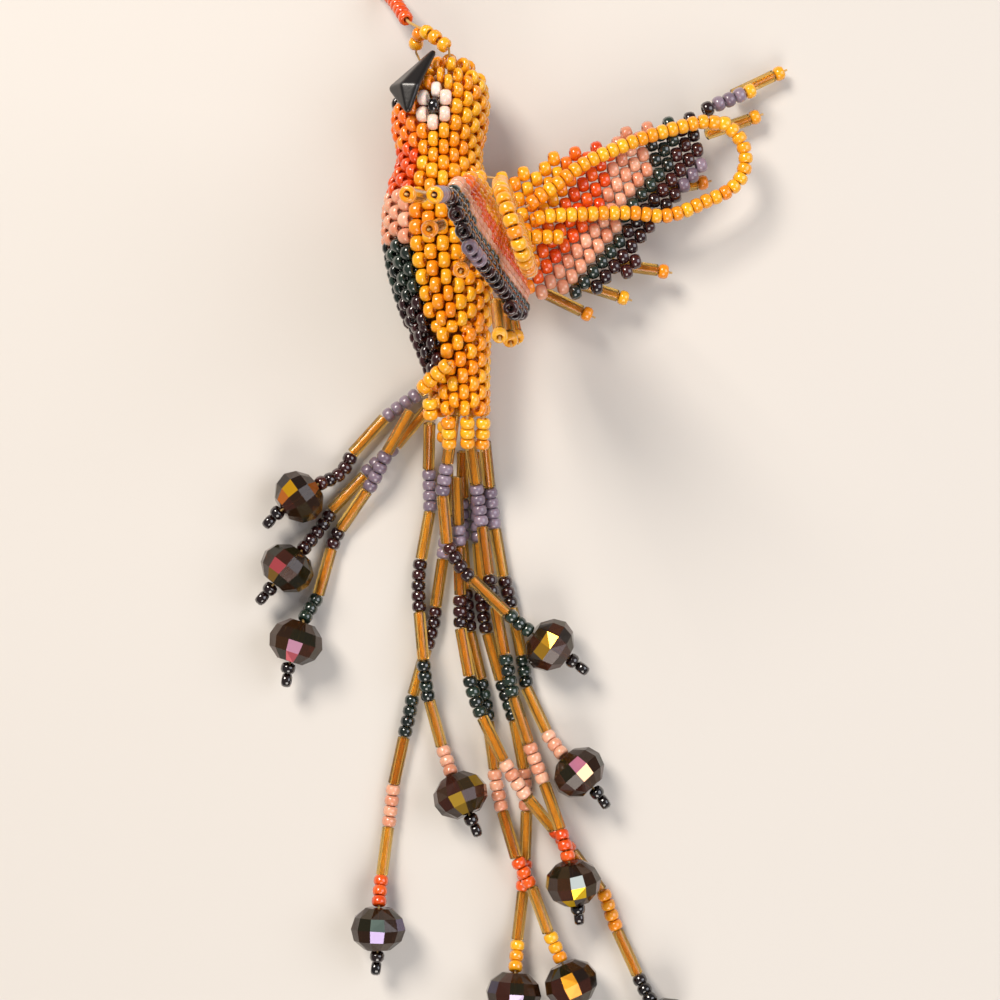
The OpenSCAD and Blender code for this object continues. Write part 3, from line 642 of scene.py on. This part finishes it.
def tie_wing(side, threads=9):
    """The threads that hold a wing on: from the beads of its inmost row to the nearest ones of the skin."""
    skin = middles["body_yellow"]
    near = []
    for band in ("yellow", "orange", "red", "pink"):
        for bead in middles[f"{side}_wing_{band}"]:
            stitch = min(skin, key=lambda s: (s - bead).length)
            near.append(((stitch - bead).length, bead, stitch))
    work = Beadwork(side + "_wing_ties")
    for _, bead, stitch in sorted(near, key=lambda n: n[0])[:threads]:
        work.thread([bead, stitch], 0.18 * MM)
    piece = work.finished()
    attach(piece, side + "_wing")


def draw_hanger():
    """The small loop of beads on the crown that the neck strand is tied through, with its thread."""
    route = rounded(HANGER)
    work = Beadwork("hanger_beads")
    for i in range(int(reach(route) / HANGER_STEP)):
        a, b = place(at(route, i * HANGER_STEP)), place(at(route, (i + 1) * HANGER_STEP))
        work.bead("yellow", (a + b) / 2, b - a, 1.5 * MM, 1.05 * MM)
    into_crown, into_face = place((-6.9, 60.4, 10.2)), place((-10.8, 60.6, 6.4))
    knot = place((-12.6, 66.2, 8.9))
    work.thread([into_crown] + [place(p) for p in route] + [into_face], 0.16 * MM)
    work.thread([place((-10.9, 65.1, 9.8)), knot, place(NECK[0])], 0.2 * MM)
    return stand_in(work.finished(), "hanger")


# Corners of the beak, each a centre and a radius: its foot, its tip, and the three that both halves share
BEAK_FOOT = ((-12.5, 53.1, 14.9), 0.55)
BEAK_TIP = ((-9.2, 61.2, 12.4), 0.45)
BEAK_MIDDLE = [((-14.6, 56.3, 12.5), 0.6), ((-11.4, 56.2, 15.2), 0.55), ((-13.1, 56.3, 14.8), 0.6)]


def draw_beak():
    """The beak, a bent wedge of pressed black glass whose two halves run into each other softly."""
    work = bmesh.new()
    for end in (BEAK_FOOT, BEAK_TIP):
        half = bmesh.new()
        for corner, radius in BEAK_MIDDLE + [end]:
            bmesh.ops.create_uvsphere(half, u_segments=16, v_segments=10, radius=radius * MM,
                                      matrix=Matrix.Translation(place(corner)))
        bmesh.ops.delete(half, geom=list(half.edges), context="EDGES_FACES")
        bmesh.ops.convex_hull(half, input=list(half.verts))
        bmesh.ops.delete(half, geom=[v for v in half.verts if not v.link_faces], context="VERTS")
        mesh = bpy.data.meshes.new("beak_half")
        half.to_mesh(mesh)
        half.free()
        work.from_mesh(mesh)
    mesh = bpy.data.meshes.new("beak_glass")
    work.to_mesh(mesh)
    work.free()
    mesh.materials.append(MATERIALS["beak"])
    piece = bpy.data.objects.new("beak_glass", mesh)
    bpy.context.scene.collection.objects.link(piece)
    remesh = piece.modifiers.new("one_skin", "REMESH")
    remesh.voxel_size = 0.14 * MM
    remesh.use_smooth_shade = True
    soften = piece.modifiers.new("soften", "SMOOTH")
    soften.factor = 0.5
    soften.iterations = 10
    return stand_in(piece, "beak")


for name, bead_kind in (("body_yellow", "yellow"), ("underside", "yellow"), ("face_black", "black"),
                        ("throat_orange", "orange"), ("breast_red", "red"), ("breast_pink", "pink"),
                        ("belly_green", "green"), ("belly_garnet", "garnet"), ("eye_rings", "cream"),
                        ("eyes", "black")):
    redraw(name, bead_kind, 1.2, 1.07)
draw_waist()
redraw("skirt", "yellow", 1.17, threaded=True)
draw_hanger()
for side in ("left", "right"):
    for band in ("yellow", "orange", "red", "pink", "green", "garnet", "lilac"):
        redraw(f"{side}_wing_{band}", band, 1.06, 1.03)
    redraw(f"{side}_wing_bugles", "bugle")
    redraw(f"{side}_wing_tips", "yellow", threaded=True)
    redraw(f"{side}_wing_loop", "yellow", 1.17, threaded=True)
    tie_wing(side)

# The filling takes the wadding colour, which is painted shade.
frame["nodes"]["filling"].data.materials.clear()
frame["nodes"]["filling"].data.materials.append(MATERIALS["wadding"])
draw_beak()

# ------------------------------------------------------------------ floor and soft studio light
def pale_floor():
    bm = bmesh.new()
    bmesh.ops.create_grid(bm, x_segments=1, y_segments=1, size=1.5)
    mesh = bpy.data.meshes.new("floor")
    bm.to_mesh(mesh)
    bm.free()
    material, tree = new_material("pale_floor")
    shader = add(tree, "ShaderNodeBsdfPrincipled", {"Base Color": linear("#D0CBC4"), "Roughness": 0.6})
    add(tree, "ShaderNodeOutputMaterial", links={"Surface": (shader, "BSDF")})
    mesh.materials.append(material)
    floor = bpy.data.objects.new("floor", mesh)
    floor.location.z = -0.0001
    bpy.context.scene.collection.objects.link(floor)


def softbox(name, location, size, power, colour="#FFFFFF"):
    data = bpy.data.lights.new(name, "AREA")
    data.size = size
    data.energy = power
    data.color = linear(colour)[:3]
    lamp = bpy.data.objects.new(name, data)
    lamp.location = location
    lamp.rotation_euler = (-Vector(location)).to_track_quat("-Z", "Y").to_euler()
    bpy.context.scene.collection.objects.link(lamp)


pale_floor()
softbox("key_light", (-0.35, 0.45, 0.6), 0.3, 6.6, "#FFF6EC")
softbox("fill_light", (0.5, 0.1, 0.5), 0.5, 2.4, "#F4F6FF")
softbox("rim_light", (0.05, -0.5, 0.45), 0.35, 2.2, "#FFF8F0")
world = bpy.data.worlds.new("studio")
world.use_nodes = True
world.node_tree.nodes["Background"].inputs["Color"].default_value = linear("#D8D8DC")
world.node_tree.nodes["Background"].inputs["Strength"].default_value = 0.3
bpy.context.scene.world = world
bpy.context.scene.view_settings.view_transform = "Standard"
